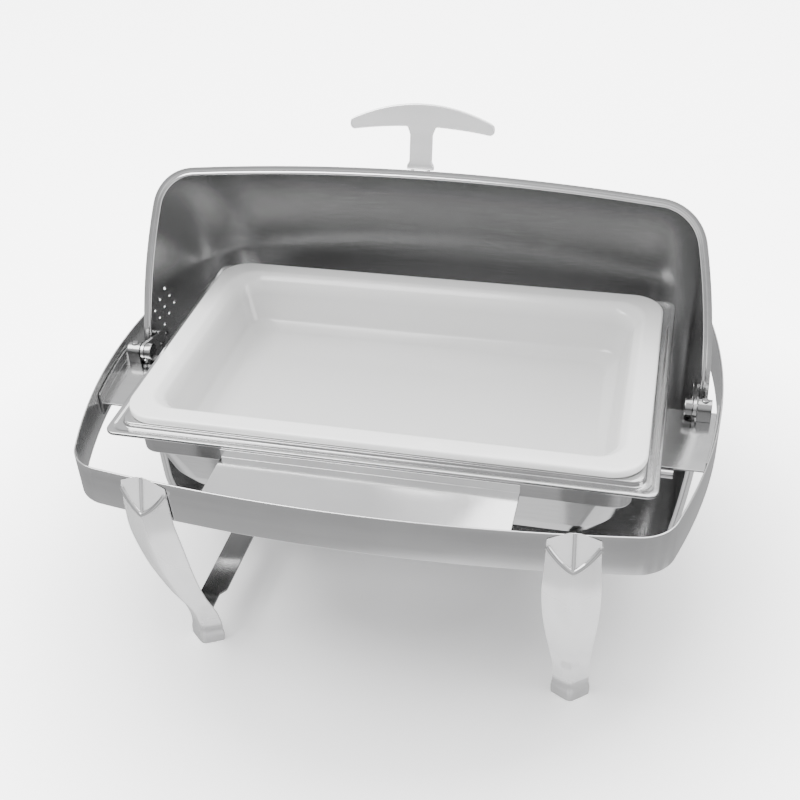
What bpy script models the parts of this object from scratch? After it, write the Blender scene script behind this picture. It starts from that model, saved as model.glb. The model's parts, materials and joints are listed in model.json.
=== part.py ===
"""A full-size roll top chafer, standing on the floor with its lid rolled open.

Metres, +Z up, the front towards -Y. The origin is on the floor, at the centre of the bowed frame ring.
"""

import math

import bmesh
import bpy
from mathutils import Matrix, Vector

GAP = 0.0003  # between pieces that touch

# Frame ring: two bowed sides and two bowed fronts, with filleted corners
RING_X = 0.3337
RING_Y = 0.2587
RING_BOW_X = 0.80  # how fast a side falls back along y
RING_BOW_Y = 0.274  # how fast the front falls back along x
RING_FILLET = 0.042
RING_TOP = 0.2905
RING_HEIGHT = 0.0464
RING_SHEET = 0.0018
RING_BOTTOM = RING_TOP - RING_HEIGHT

# Hinge axis, along X
HINGE_Y = -0.021
HINGE_Z = 0.2815
PIN_RADIUS = 0.004
PIN_HEAD_RADIUS = 0.0092
PIN_HEAD_X = (0.2955, 0.3040)
ARM_X = (0.3044, 0.3076)
BLOCK_X = (0.3090, 0.3230)
SET_SCREW_RADIUS = 0.0037
SET_SCREW_TOP = 0.0101  # above the hinge axis

# Lid: a surface of revolution about the hinge axis, cut by the rim plane
LID_TILT = math.radians(16.9)  # rim plane past upright, when open
LID_RADIUS = 0.2208
LID_BOW = 0.19
LID_X = 0.319
LID_BOW_X = 0.683
LID_FILLET = 0.055
LID_SHEET = 0.0015
RIM_OFFSET = 0.028  # from the hinge axis to the rim plane
HEM_WIDTH = 0.0085
HEM_SHEET = 0.0025

# Pans
PAN_Y = -0.010
WATER_RIM = (0.278, 0.176)
WATER_TOP = 0.2935  # outer lip of the rim
WATER_STEP = 0.040  # depth of the straight wall that the food pan hangs in
WATER_RAISE = 0.0045  # inner part of the rim, above its outer lip
FOOD_RIM = (0.265, 0.1625)
FOOD_TOP = 0.3075

# Legs: tables are (height, value) stations
LEG_X = 0.2085
LEG_TURN = math.radians(6.5)  # each leg faces along the ring's own normal
LEG_FACE_Y = RING_Y - RING_BOW_Y * LEG_X**2
LEG_EDGE = 0.0015
LEG_STEPS = 26
LEG_HALF_WIDTH = ((0.0, 0.0204), (0.010, 0.0208), (0.016, 0.0195), (0.055, 0.0193), (0.11, 0.0222),
                  (0.165, 0.0262), (0.2135, 0.0277), (0.245, 0.0262), (0.2935, 0.0240))
# Side edge's distance in front of the ring's face
LEG_OUT = ((0.0, -0.0670), (0.014, -0.0690), (0.028, -0.0685), (0.052, -0.0610), (0.095, -0.0400),
           (0.150, -0.0190), (0.200, -0.0050), (0.238, 0.0020), (0.2935, 0.0020))
# Ridge height over half the width
LEG_RIDGE = ((0.0, 0.60), (0.05, 0.50), (0.15, 0.40), (0.25, 0.35), (0.2935, 0.35))
# Depth of the back's hollow over the ridge height
LEG_HOLLOW = ((0.0, 0.0), (0.02, 0.0), (0.06, 0.8), (0.20, 0.8), (0.238, 0.0), (0.2935, 0.0))
CAP_PEAK = 0.2935
CAP_SHOULDER = 0.2775
CAP_TIP = 0.2555

STAINLESS = (0.80, 0.80, 0.81, 1.0)


def clear_scene():
    for item in list(bpy.data.objects):
        bpy.data.objects.remove(item, do_unlink=True)


def material(name, colour, metallic, roughness):
    """The named Principled material, made once."""
    made = bpy.data.materials.get(name)
    if made:
        return made
    made = bpy.data.materials.new(name)
    made.use_nodes = True
    shader = made.node_tree.nodes["Principled BSDF"]
    shader.inputs["Base Color"].default_value = colour
    shader.inputs["Metallic"].default_value = metallic
    shader.inputs["Roughness"].default_value = roughness
    made.diffuse_color = colour
    return made


def polished():
    return material("polished_steel", STAINLESS, 1.0, 0.08)


def brushed():
    return material("brushed_steel", (0.62, 0.62, 0.63, 1.0), 1.0, 0.28)


def satin():
    return material("satin_steel", (0.72, 0.72, 0.73, 1.0), 1.0, 0.22)


def porcelain():
    return material("porcelain", (0.86, 0.86, 0.84, 1.0), 0.0, 0.10)


def add_object(name, mesh, surface, parent=None, place=Matrix.Identity(4)):
    """A linked object of a mesh or a bmesh, at place in its parent's frame."""
    if isinstance(mesh, bmesh.types.BMesh):
        bmesh.ops.remove_doubles(mesh, verts=mesh.verts, dist=1e-6)
        bmesh.ops.recalc_face_normals(mesh, faces=mesh.faces)
        data = bpy.data.meshes.new(name)
        mesh.to_mesh(data)
        mesh.free()
        mesh = data
    mesh.shade_smooth()
    mesh.set_sharp_from_angle(angle=math.radians(35))
    made = bpy.data.objects.new(name, mesh)
    made.data.materials.append(surface)
    bpy.context.collection.objects.link(made)
    made.parent = parent
    made.matrix_basis = place
    return made


def cutter(name, mesh, place=Matrix.Identity(4)):
    """A hidden helper for a Boolean."""
    made = add_object(name, mesh, satin(), None, place)
    made.hide_render = True
    made.display_type = "WIRE"
    return made


def cut(target, tool):
    change = target.modifiers.new(tool.name, "BOOLEAN")
    change.operation = "DIFFERENCE"
    change.object = tool
    change.solver = "EXACT"


def loft(rings, closed_ends=True):
    """A bmesh skin through rings of equally many points, the ends capped."""
    mesh = bmesh.new()
    rows = [[mesh.verts.new(point) for point in ring] for ring in rings]
    count = len(rows[0])
    for below, above in zip(rows, rows[1:]):
        for i in range(count):
            j = (i + 1) % count
            mesh.faces.new((below[i], below[j], above[j], above[i]))
    if closed_ends:
        mesh.faces.new(rows[0][::-1])
        mesh.faces.new(rows[-1])
    return mesh


def tube_of(outer, inner):
    """A bmesh ring wall: two stacks of rings, joined along both end rings."""
    return loft(outer + inner[::-1] + outer[:1], closed_ends=False)


def box(low, high):
    """A block between two opposite corners."""
    corners = ((low[0], low[1]), (high[0], low[1]), (high[0], high[1]), (low[0], high[1]))
    return loft([[(x, y, z) for x, y in corners] for z in (low[2], high[2])])


def turns(count):
    """Angles of equal steps round a full circle."""
    return [2 * math.pi * i / count for i in range(count)]


def disc(radius, x, count=32, y=0.0, z=0.0):
    """Points of a circle in the plane of constant x."""
    return [(x, y + radius * math.cos(t), z + radius * math.sin(t)) for t in turns(count)]


def disc_z(radius, z, x=0.0, count=20):
    """Points of a circle in the plane of constant z."""
    return [(x + radius * math.cos(t), radius * math.sin(t), z) for t in turns(count)]


def disc_y(radius, y, count=16, x=0.0, z=0.0):
    """Points of a circle in the plane of constant y."""
    return [(x + radius * math.cos(t), y, z + radius * math.sin(t)) for t in turns(count)]


def rounded_rectangle(half_x, half_y, radius, per_corner=5):
    """Points of a rectangle with round corners, anticlockwise about the origin."""
    points = []
    for corner in range(4):
        sign_x, sign_y = ((1, 1), (-1, 1), (-1, -1), (1, -1))[corner]
        centre = (sign_x * (half_x - radius), sign_y * (half_y - radius))
        for i in range(per_corner + 1):
            turn = (corner + i / per_corner) * math.pi / 2
            points.append((centre[0] + radius * math.cos(turn),
                           centre[1] + radius * math.sin(turn)))
    return points


def bowed_outline(half_x, bow_x, half_y, bow_y, fillet, inset=0.0,
                  along_x=14, along_y=12, arc=6):
    """Points of a bowed rectangle, anticlockwise, moved inwards by inset.

    The sides are x = half_x - bow_x * y**2, the ends are y = half_y - bow_y * x**2.
    """
    def side(y):
        return Vector((half_x - bow_x * y * y, y)), Vector((1, 2 * bow_x * y)).normalized()

    def end(x):
        return Vector((x, half_y - bow_y * x * x)), Vector((2 * bow_y * x, 1)).normalized()

    # The fillet's centre is where both edges, moved in by its radius, meet.
    x, y = half_x - fillet, half_y - fillet
    for _ in range(60):
        on_end, normal_end = end(x)
        on_side, normal_side = side(y)
        a, b = on_end - fillet * normal_end, on_side - fillet * normal_side
        x += b.x - a.x
        y += a.y - b.y
    centre = on_end - fillet * normal_end
    start = math.atan2(normal_side.y, normal_side.x)
    stop = math.atan2(normal_end.y, normal_end.x)
    quarter = []
    for i in range(along_y // 2 + 1):
        point, normal = side(y * i / (along_y // 2))
        quarter.append(point - inset * normal)
    for i in range(1, arc):
        turn = start + (stop - start) * i / arc
        quarter.append(centre + (fillet - inset) * Vector((math.cos(turn), math.sin(turn))))
    for i in range(along_x // 2 + 1):
        point, normal = end(x * (1 - i / (along_x // 2)))
        quarter.append(point - inset * normal)
    points = [(p.x, p.y) for p in quarter]
    points += [(-p.x, p.y) for p in quarter[-2::-1]]
    points += [(-p.x, -p.y) for p in quarter[1:]]
    points += [(p.x, -p.y) for p in quarter[-2:0:-1]]
    return points


def smooth_value(stations, at):
    """A value at a height, by smooth steps through (height, value) stations in rising order."""
    if at <= stations[0][0]:
        return stations[0][1]
    for i in range(len(stations) - 1):
        low, high = stations[i], stations[i + 1]
        if at > high[0]:
            continue
        before, after = stations[max(i - 1, 0)], stations[min(i + 2, len(stations) - 1)]
        span = high[0] - low[0]
        slope_low = (high[1] - before[1]) / (high[0] - before[0])
        slope_high = (after[1] - low[1]) / (after[0] - low[0])
        t = (at - low[0]) / span
        return (
            (2 * t**3 - 3 * t**2 + 1) * low[1] + (t**3 - 2 * t**2 + t) * span * slope_low
            + (3 * t**2 - 2 * t**3) * high[1] + (t**3 - t**2) * span * slope_high
        )
    return stations[-1][1]


# ---------------------------------------------------------------- frame

BOLT_DROP = 0.030  # leg bolt below the ring's top
BOLT_RADIUS = 0.003
BOLT_TIP = -0.0045  # from the ring's face, inside the leg
CLAMP_HALF = 0.025
CLAMP_SHEET = 0.0025
CLAMP_MARGIN = 0.004  # from the ring's edges


def make_ring():
    outline = [
        bowed_outline(RING_X, RING_BOW_X, RING_Y, RING_BOW_Y, RING_FILLET, inset)
        for inset in (0.0, RING_SHEET)
    ]
    walls = [[[(x, y, z) for x, y in line] for z in (RING_BOTTOM, RING_TOP)]
             for line in outline]
    ring = add_object("frame_band", tube_of(*walls), polished())
    for name, place in leg_places():
        cut(ring, cutter("ring_hole_" + name, bolt_hole(BOLT_RADIUS, -0.015, 0.015), place))


def bolt_hole(radius, low, high):
    """A cylinder for a leg bolt's hole, along y in a leg's frame."""
    return loft([disc_y(radius, y, z=RING_TOP - BOLT_DROP) for y in (low, high)])


def leg_places():
    """(name, matrix) of each leg: its local -Y faces out of the ring, y = 0 on the ring's face."""
    for front in (True, False):
        for left in (True, False):
            side = -1 if left else 1
            name = ("front" if front else "back") + ("_left" if left else "_right")
            outward = LEG_TURN * side
            if front:
                spin = Matrix.Rotation(outward, 4, "Z")
            else:
                spin = Matrix.Rotation(math.pi - outward, 4, "Z")
            where = (side * LEG_X, -LEG_FACE_Y if front else LEG_FACE_Y, 0)
            yield name, Matrix.Translation(where) @ spin


def leg_section(z, lean):
    """The leg's cross-section: a ridge in front, and a back that is hollow in the middle of the leg.

    lean is how far the section moves along the leg's own x for each unit that it tucks in.
    """
    half = smooth_value(LEG_HALF_WIDTH, z)
    edge = -smooth_value(LEG_OUT, z)
    ridge = smooth_value(LEG_RIDGE, z) * half
    hollow = smooth_value(LEG_HOLLOW, z) * ridge
    back = edge + LEG_EDGE
    middle = lean * edge
    return [(middle - half, edge, z), (middle, edge - ridge, z), (middle + half, edge, z),
            (middle + half, back, z), (middle, back - hollow, z), (middle - half, back, z)]


def make_legs():
    """Four pressed legs. Two sloping cuts give each its pointed cap."""
    for name, place in leg_places():
        lean = -place[0][1] / place[0][0]  # the leg tucks in straight back, not along its turn
        leg = loft([leg_section(CAP_PEAK * i / LEG_STEPS, lean) for i in range(LEG_STEPS + 1)])
        half = smooth_value(LEG_HALF_WIDTH, CAP_SHOULDER)
        front = -smooth_value(LEG_OUT, CAP_TIP)
        tip = Vector(leg_section(CAP_TIP, 0.0)[1])
        for side in (-1, 1):
            peak = Vector((0, front + LEG_EDGE, CAP_PEAK))
            shoulder = Vector((side * half, front, CAP_SHOULDER))
            slope = (shoulder - tip).cross(peak - tip).normalized()
            slice_off(leg, tip, slope if slope.y < 0 else -slope)
        made = add_object("leg_" + name, leg, polished(), None, place)
        hole = bolt_hole(BOLT_RADIUS + GAP, BOLT_TIP - 0.0005, 0.01)
        cut(made, cutter("leg_hole_" + name, hole, place))


def slice_off(mesh, point, normal):
    """Cuts away what lies beyond a plane, and closes the cut."""
    made = bmesh.ops.bisect_plane(mesh, geom=mesh.verts[:] + mesh.edges[:] + mesh.faces[:],
                                  plane_co=point, plane_no=normal, clear_outer=True)
    rim = [item for item in made["geom_cut"] if isinstance(item, bmesh.types.BMEdge)]
    bmesh.ops.holes_fill(mesh, edges=rim)


def make_clamps():
    """A plate behind the ring at each leg, and the bolt that draws the leg onto the ring."""
    inside = RING_SHEET + 2 * GAP
    head = inside + CLAMP_SHEET + GAP
    for name, place in leg_places():
        sheet = box((-CLAMP_HALF, inside, RING_BOTTOM + CLAMP_MARGIN),
                    (CLAMP_HALF, inside + CLAMP_SHEET, RING_TOP - CLAMP_MARGIN))
        plate = add_object("clamp_plate_" + name, sheet, polished(), None, place)
        hole = bolt_hole(BOLT_RADIUS + GAP, 0.0, 0.01)
        cut(plate, cutter("clamp_hole_" + name, hole, place))
        radii = ((BOLT_RADIUS - GAP, BOLT_TIP), (BOLT_RADIUS - GAP, head), (0.0058, head),
                 (0.0058, head + 0.0022), (0.0040, head + 0.0036))
        bolt = loft([disc_y(r, y, z=RING_TOP - BOLT_DROP) for r, y in radii])
        add_object("leg_bolt_" + name, bolt, satin(), None, place)


STRETCHER_X = (0.192, 0.221)
STRETCHER_Z = 0.045
STRETCHER_SHEET = 0.003
STRETCHER_STEP = (0.146, 0.160)  # where the strip joggles up to the leg
STRETCHER_LIFT = 0.006
STRETCHER_NARROW = 0.003  # each side, at the ends
STRETCHER_END = 0.1825


def make_stretchers():
    """A flat strip from each front leg to the back leg behind it, with a joggle near each end."""
    half = ((STRETCHER_STEP[0], 0.0), (STRETCHER_STEP[1], STRETCHER_LIFT),
            (STRETCHER_END, STRETCHER_LIFT))
    ends = [(-y, lift) for y, lift in half[::-1]] + list(half)
    for name, side in (("left", -1), ("right", 1)):
        rings = []
        for y, lift in ends:
            narrow = STRETCHER_NARROW if lift else 0.0
            near, far = side * (STRETCHER_X[0] + narrow), side * (STRETCHER_X[1] - narrow)
            low = STRETCHER_Z + lift - STRETCHER_SHEET / 2
            high = low + STRETCHER_SHEET
            rings.append([(near, y, low), (far, y, low), (far, y, high), (near, y, high)])
        add_object("stretcher_" + name, loft(rings), polished())


# ---------------------------------------------------------------- brackets and rails

FRONT_PLATE_X = 0.1505
FRONT_PLATE_Z = 0.2810
FRONT_PLATE_BACK = -0.1855
PLATE_SHEET = 0.002
FLANGE_DROP = 0.016
LIP_TOP = WATER_TOP - 0.0035  # under the drop lip of the pan's rim
RAIL_TOP = WATER_TOP - 0.0014  # under the flat of the pan's rim
RAIL_HEIGHT = 0.016
SIDE_PLATE_Z = 0.2700
SIDE_PLATE_Y = (-0.110, -0.0118)
SIDE_FLANGE = (-0.014, 0.011)  # below the plate's underside, above its top
ROLL_X = (0.2708, 0.2900)
ARM_SLOT_X = (0.3030, 0.3087)
ARM_SLOT_FRONT = -0.0235
RAIL_X = (0.2580, 0.2680)
RAIL_Y = (-0.108, 0.115)


def extruded(points, low, high):
    """A bmesh prism along x of an outline in y and z."""
    return loft([[(at, u, v) for u, v in points] for at in (low, high)])


def front_face_y(x, inset):
    return -(RING_Y - RING_BOW_Y * x * x) + inset


def make_front_bracket():
    """The plate behind the front of the ring, its back edge turned up under the pan's rim."""
    low, high = FRONT_PLATE_Z - PLATE_SHEET, FRONT_PLATE_Z
    inset = RING_SHEET + 0.0008
    rings = []
    for i in range(9):
        x = -FRONT_PLATE_X + 2 * FRONT_PLATE_X * i / 8
        wall = front_face_y(x, inset)
        back = FRONT_PLATE_BACK
        rings.append([
            (x, wall, low - FLANGE_DROP), (x, wall + PLATE_SHEET, low - FLANGE_DROP),
            (x, wall + PLATE_SHEET, low), (x, back, low), (x, back, LIP_TOP),
            (x, back - PLATE_SHEET, LIP_TOP), (x, back - PLATE_SHEET, high), (x, wall, high),
        ])
    add_object("bracket_front", loft(rings), polished())


def make_side_brackets():
    """A plate at each end of the pan: flange on the ring, lip under the pan's rim, rolled front."""
    high = SIDE_PLATE_Z
    low = high - PLATE_SHEET
    front, back = SIDE_PLATE_Y
    lip = RAIL_X[1] + GAP
    for name, side in (("left", -1), ("right", 1)):
        rings = []
        for i in range(7):
            y = front + (back - front) * i / 6
            wall = RING_X - RING_BOW_X * y * y - RING_SHEET - 0.0008
            inner = wall - PLATE_SHEET
            points = [(wall, low + SIDE_FLANGE[0]), (wall, high + SIDE_FLANGE[1]),
                      (inner, high + SIDE_FLANGE[1]), (inner, high),
                      (lip + PLATE_SHEET, high), (lip + PLATE_SHEET, RAIL_TOP), (lip, RAIL_TOP),
                      (lip, low), (inner, low), (inner, low + SIDE_FLANGE[0])]
            rings.append([(side * u, y, v) for u, v in points])
        bracket = add_object("bracket_" + name, loft(rings), satin())
        slot_low, slot_high = sorted((side * ARM_SLOT_X[0], side * ARM_SLOT_X[1]))
        slot = box((slot_low, ARM_SLOT_FRONT, low - 0.02), (slot_high, back + 0.01, high + 0.02))
        cut(bracket, cutter("arm_slot_" + name, slot))
        roll = [(front - 0.0038 + r * math.cos(t), high - 0.005 + r * math.sin(t))
                for r, span in ((0.0045, range(13)), (0.0027, range(12, -1, -1)))
                for t in [math.radians(60 + 20 * i) for i in span]]
        low_x, high_x = sorted((side * ROLL_X[0], side * ROLL_X[1]))
        add_object("bracket_roll_" + name, extruded(roll, low_x, high_x), satin())
        rail_low, rail_high = sorted((side * RAIL_X[0], side * RAIL_X[1]))
        rail = box((rail_low, RAIL_Y[0], RAIL_TOP - RAIL_HEIGHT), (rail_high, RAIL_Y[1], RAIL_TOP))
        add_object("pan_rail_" + name, rail, satin())


# ---------------------------------------------------------------- hinge

def make_hinges():
    """Block, pin and set screw at each end of the lid."""
    drop = SIDE_PLATE_Z + GAP - HINGE_Z
    axis = Matrix.Translation((0, HINGE_Y, HINGE_Z))
    arc = [(PIN_HEAD_RADIUS * math.cos(t), PIN_HEAD_RADIUS * math.sin(t))
           for t in [math.pi * i / 12 for i in range(13)]]
    body = arc + [(-PIN_HEAD_RADIUS, drop), (PIN_HEAD_RADIUS, drop)]
    for name, side in (("left", -1), ("right", 1)):
        low, high = sorted((side * BLOCK_X[0], side * BLOCK_X[1]))
        block = add_object("hinge_block_" + name, extruded(body, low, high), polished(), None, axis)
        bore = loft([disc(PIN_RADIUS + GAP, x) for x in (low - 0.01, high + 0.01)])
        cut(block, cutter("block_bore_" + name, bore, axis))
        centre = side * (BLOCK_X[0] + BLOCK_X[1]) / 2
        well = loft([disc_z(SET_SCREW_RADIUS + GAP, z, centre) for z in (0.001, 0.02)])
        cut(block, cutter("block_well_" + name, well, axis))
        sizes = ((SET_SCREW_RADIUS, PIN_RADIUS + GAP), (SET_SCREW_RADIUS, SET_SCREW_TOP),
                 (SET_SCREW_RADIUS - 0.0006, SET_SCREW_TOP + 0.0006))
        screw = loft([disc_z(r, z, centre) for r, z in sizes])
        add_object("set_screw_" + name, screw, satin(), None, axis)
        reach = (PIN_HEAD_X[0], PIN_HEAD_X[0] + 0.001, PIN_HEAD_X[1], PIN_HEAD_X[1],
                 BLOCK_X[1] - 0.001)
        radii = (PIN_HEAD_RADIUS - 0.001, PIN_HEAD_RADIUS, PIN_HEAD_RADIUS, PIN_RADIUS, PIN_RADIUS)
        pin = loft([disc(r, side * x) for r, x in zip(radii, reach)])
        add_object("hinge_pin_" + name, pin, polished(), None, axis)


# ---------------------------------------------------------------- lid, closed, about the hinge axis

def lid_profile(inset):
    """(x, radius) points of the dome's half profile, from the top's middle to the end wall's centre."""
    outline = bowed_outline(LID_X, LID_BOW_X, LID_RADIUS, LID_BOW, LID_FILLET, inset, 12, 10)
    quarter = [p for p in outline if p[0] > -1e-9 and p[1] > RIM_OFFSET]
    quarter.sort(key=lambda p: math.atan2(p[1] / LID_RADIUS, p[0] / LID_X), reverse=True)
    wall = LID_X - inset - LID_BOW_X * RIM_OFFSET**2
    return quarter + [(wall, RIM_OFFSET + 1e-4)]


def dome_rings(inset, steps=24):
    """Rings of the dome across x, each an arc about the hinge axis that ends in the rim plane."""
    half = lid_profile(inset)
    profile = [(-x, r) for x, r in half[::-1]] + half[1:]
    rings = []
    for x, radius in profile:
        start = math.asin(RIM_OFFSET / radius)
        arc = []
        for i in range(steps + 1):
            turn = start + (math.pi - 2 * start) * i / steps
            arc.append((x, -radius * math.cos(turn), radius * math.sin(turn)))
        rings.append(arc)
    return rings


def make_dome_mesh():
    """The dome's sheet: an outer and an inner skin, joined along the rim."""
    mesh = bmesh.new()
    skins = []
    for inset in (0.0, LID_SHEET):
        rows = [[mesh.verts.new(p) for p in ring] for ring in dome_rings(inset)]
        skins.append(rows)
        for a, b in zip(rows, rows[1:]):
            for i in range(len(a) - 1):
                mesh.faces.new((a[i], a[i + 1], b[i + 1], b[i]))
        for row in (rows[0], rows[-1]):
            mesh.faces.new(row)
    outer, inner = skins
    for edge in (0, -1):
        for k in range(len(outer) - 1):
            mesh.faces.new((outer[k][edge], outer[k + 1][edge], inner[k + 1][edge], inner[k][edge]))
    for end in (0, -1):
        mesh.faces.new((outer[end][0], outer[end][-1], inner[end][-1], inner[end][0]))
    return mesh


VENT_RADIUS = 0.0021
VENT_PITCH = 0.0155 / math.sqrt(2)  # along y and along z
VENT_CENTRE = (-0.034, 0.072)  # y and z from the hinge axis, with the lid closed
HANDLE_DROP = 0.012  # from the rim plane to the handle's middle
HANDLE_SHEET = 0.005
HANDLE_SCREW_X = 0.0085
GRIP_HALF = 0.0735
GRIP_UNDER = (0.2628, 0.2568)  # distance from the hinge axis at the middle and at the end
GRIP_OVER = (0.2860, 0.2691)


def make_lid(frame):
    """The dome, its hem, arms, rivets, vents and handle, all under one empty on the hinge axis."""
    shell = add_object("lid_shell", make_dome_mesh(), brushed(), frame)
    for name, side in (("left", -1), ("right", 1)):
        for row in range(3):
            for column in range(3):
                y = VENT_CENTRE[0] + (row - column) * VENT_PITCH
                z = VENT_CENTRE[1] + (row + column - 2) * VENT_PITCH
                ends = sorted((side * 0.29, side * 0.33))
                hole = loft([disc(VENT_RADIUS, x, 10, y, z) for x in ends])
                tool = cutter(f"vent_{name}_{row}_{column}", hole)
                tool.parent = frame
                cut(shell, tool)
    make_hem(frame)
    make_arms(frame)
    make_handle(frame, shell)


def make_hem(frame):
    """The folded hem inside the rim: a flat band of sheet that runs round the opening."""
    rim = LID_RADIUS - 0.0018  # the rim plane cuts the dome a little inside its radius
    lines = [bowed_outline(LID_X, LID_BOW_X, rim, LID_BOW, LID_FILLET, inset, 20, 16, 8)
             for inset in (LID_SHEET + 0.0012, LID_SHEET + HEM_WIDTH)]
    walls = [[[(x, y, z) for x, y in line] for z in (RIM_OFFSET, RIM_OFFSET + HEM_SHEET)]
             for line in lines]
    add_object("lid_rim_hem", tube_of(*walls), brushed(), frame)


ARM_WIDTH = 0.009
RIVET_AT = ((0.006, 0.043), (-0.004, 0.056))
RIVET_RADIUS = 0.0028


def make_arms(frame):
    """A flat arm at each end, turning on the hinge pin, riveted to the end wall through a spacer."""
    eye = [(ARM_WIDTH * math.cos(t), ARM_WIDTH * math.sin(t))
           for t in [math.radians(180 + 15 * i) for i in range(13)]]
    body = eye + [(0.0100, 0.012), (0.0150, 0.030), (0.0140, 0.058), (0.0100, 0.0635),
                  (-0.0060, 0.0645), (-0.0110, 0.060), (-0.0105, 0.030), (-0.0095, 0.012)]
    holes = (("eye", PIN_RADIUS + 0.0001, 0.0, 0.0),
             ("low", RIVET_RADIUS + GAP, *RIVET_AT[0]), ("high", RIVET_RADIUS + GAP, *RIVET_AT[1]))
    for name, side in (("left", -1), ("right", 1)):
        low, high = sorted((side * ARM_X[0], side * ARM_X[1]))
        arm = add_object("lid_arm_" + name, extruded(body, low, high), brushed(), frame)
        for label, radius, y, z in holes:
            bore = loft([disc(radius, x, 32, y, z) for x in (low - 0.01, high + 0.01)])
            tool = cutter(f"arm_{label}_{name}", bore)
            tool.parent = frame
            cut(arm, tool)
        for label, (y, z) in zip(("lower", "upper"), RIVET_AT):
            radius = math.hypot(y, z)
            wall = LID_X - LID_BOW_X * radius**2 - LID_SHEET
            near, far = ARM_X[0] - GAP, ARM_X[1] + GAP
            xs = (near - 0.0015, near - 0.0003, near, near, far, far, wall - 0.0005)
            radii = (0.0030, 0.0048, 0.0048, RIVET_RADIUS, RIVET_RADIUS, 0.0046, 0.0046)
            rivet = loft([disc(r, side * x, 20, y, z) for r, x in zip(radii, xs)])
            add_object(f"lid_rivet_{name}_{label}", rivet, satin(), frame)


def make_handle(frame, shell):
    """The T-shaped handle: foot flange on the dome's front edge, stem, arched grip bar, two screws."""
    half = HANDLE_SHEET / 2
    z = RIM_OFFSET + HANDLE_DROP
    foot = math.sqrt(LID_RADIUS**2 - (z - half)**2) + 0.0005
    right = [(0.0145, foot), (0.0145, foot + 0.0045), (0.0120, foot + 0.0085), (0.0120, 0.2546),
             (0.0150, arch(0.0150, *GRIP_UNDER))]
    steps = 8
    for i in range(1, steps + 1):
        x = 0.0150 + (GRIP_HALF - 0.0150) * i / steps
        right.append((x, arch(x, *GRIP_UNDER)))
    right += [(GRIP_HALF + 0.0033, GRIP_UNDER[1] + 0.0030),
              (GRIP_HALF + 0.0033, GRIP_OVER[1] - 0.0030)]
    for i in range(steps + 1):
        x = GRIP_HALF * (1 - i / steps)
        right.append((x, arch(x, *GRIP_OVER)))
    points = right + [(-x, y) for x, y in right[-2::-1]]
    grip = loft([[(x, -y, z + at) for x, y in points] for at in (-half, half)])
    handle = add_object("handle", grip, polished(), frame)
    rounding = handle.modifiers.new("edges", "BEVEL")
    rounding.width = 0.0014
    rounding.segments = 2
    rounding.limit_method = "ANGLE"
    rounding.angle_limit = math.radians(50)
    for name, side in (("left", -1), ("right", 1)):
        x = side * HANDLE_SCREW_X
        inside = math.sqrt((LID_RADIUS - LID_SHEET)**2 - z * z)
        hole = loft([disc_y(0.0024, -y, 12, x, z) for y in (inside - 0.01, foot + 0.010)])
        tool = cutter("handle_hole_" + name, hole)
        tool.parent = frame
        cut(handle, tool)
        cut(shell, tool)
        radii = ((0.0026, inside - 0.0042), (0.0040, inside - 0.0030), (0.0040, inside - 0.0018),
                 (0.0020, inside - 0.0018), (0.0020, foot + 0.0080))
        screw = loft([disc_y(r, -y, 12, x, z) for r, y in radii])
        add_object("handle_screw_" + name, screw, satin(), frame)


def arch(x, middle, end):
    """Height along the grip bar, falling from middle to end as a smooth arch."""
    return middle + (end - middle) * (abs(x) / GRIP_HALF) ** 2


# ---------------------------------------------------------------- pans

def pan_ring(half_x, half_y, radius, z, per_corner=5):
    """A rounded rectangle about the pans' centre, at height z."""
    return [(x, PAN_Y + y, z) for x, y in rounded_rectangle(half_x, half_y, radius, per_corner)]


def pan_sheet(profile, sheet):
    """An open pan of sheet: the outside profile, then the same moved by the sheet thickness.

    Each row is half x, half y, corner radius, height, and the inner skin's moves inwards and up.
    """
    rings = [pan_ring(half_x, half_y, radius, z) for half_x, half_y, radius, z, _, _ in profile]
    for half_x, half_y, radius, z, shift, rise in profile[::-1]:
        inwards = shift * sheet
        rings.append(pan_ring(half_x - inwards, half_y - inwards, radius - inwards, z + rise * sheet))
    return loft(rings)


def make_water_pan():
    """The steel water pan: a rim with a drop lip and a raised inner part, a step, a deep well."""
    x, y = WATER_RIM
    top, sheet = WATER_TOP, 0.001
    raised, step = top + WATER_RAISE - sheet, top - WATER_STEP
    profile = [
        (0.2150, 0.1130, 0.040, top - 0.1000, 1, 1),
        (0.2330, 0.1310, 0.048, top - 0.0940, 1, 0.8),
        (0.2415, 0.1395, 0.046, top - 0.0840, 1, 0.4),
        (0.2455, 0.1435, 0.042, top - 0.0720, 1, 0),
        (0.2495, 0.1475, 0.032, step - 0.0020, 1, 1),
        (x - 0.0245, y - 0.0245, 0.016, step, 1, 1),
        (x - 0.0235, y - 0.0235, 0.016, raised, 1, 1),
        (x - 0.0145, y - 0.0145, 0.012, raised, -1, 1),
        (x - 0.0145, y - 0.0145, 0.012, top - sheet, -1, 1),
        (x - 0.0012, y - 0.0012, 0.011, top - sheet, -1, 1),
        (x - 0.0012, y - 0.0012, 0.011, top - 0.0032, -1, 0),
    ]
    add_object("water_pan", pan_sheet(profile, sheet), satin())


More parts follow.
